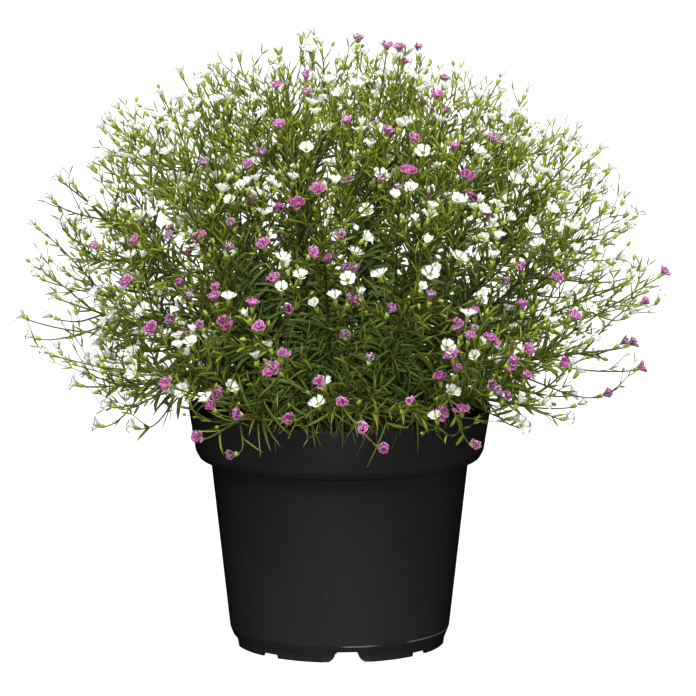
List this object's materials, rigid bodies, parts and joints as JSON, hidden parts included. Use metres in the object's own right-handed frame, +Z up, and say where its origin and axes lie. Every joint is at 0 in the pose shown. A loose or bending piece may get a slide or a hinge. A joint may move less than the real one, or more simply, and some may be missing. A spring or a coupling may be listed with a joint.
{
  "type": "potted cushion babys breath",
  "caption": "Low rounded cushion of white and pink baby's breath on fine forked stems, growing in a black plastic nursery pot.",
  "frame": {"origin": "on the ground, under the middle of the pot's foot ring", "axes": "+Z up; -Y is the front, the side that the picture shows; +X is on the right seen from the front"},
  "size_m": [0.2778, 0.2781, 0.2596],
  "materials": {
    "pot_plastic": "satin",
    "potting_soil": "matte",
    "foliage": "matte",
    "white_petal": "matte",
    "pink_petal": "matte",
    "flower_eye": "matte"
  },
  "bodies": {
    "root": {"pink_stem_01": "foliage", "pink_stem_04": "foliage", "pink_stem_08": "foliage", "pink_stem_11": "foliage", "pink_stem_16": "foliage", "pink_stem_21": "foliage", "pink_stem_25": "foliage", "pink_stem_28": "foliage", "pink_stem_29": "foliage", "pink_stem_32": "foliage", "pink_stem_35": "foliage", "pink_stem_37": "foliage", "pink_stem_42": "foliage", "pot": "pot_plastic", "soil": "potting_soil", "white_stem_02": "foliage", "white_stem_03": "foliage", "white_stem_05": "foliage", "white_stem_06": "foliage", "white_stem_07": "foliage", "white_stem_09": "foliage", "white_stem_10": "foliage", "white_stem_12": "foliage", "white_stem_13": "foliage", "white_stem_14": "foliage", "white_stem_15": "foliage", "white_stem_17": "foliage", "white_stem_18": "foliage", "white_stem_19": "foliage", "white_stem_20": "foliage", "white_stem_22": "foliage", "white_stem_23": "foliage", "white_stem_24": "foliage", "white_stem_26": "foliage", "white_stem_27": "foliage", "white_stem_30": "foliage", "white_stem_31": "foliage", "white_stem_33": "foliage", "white_stem_34": "foliage", "white_stem_36": "foliage", "white_stem_38": "foliage", "white_stem_39": "foliage", "white_stem_40": "foliage", "white_stem_41": "foliage", "white_stem_43": "foliage", "white_stem_44": "foliage"}
  },
  "joints": []
}
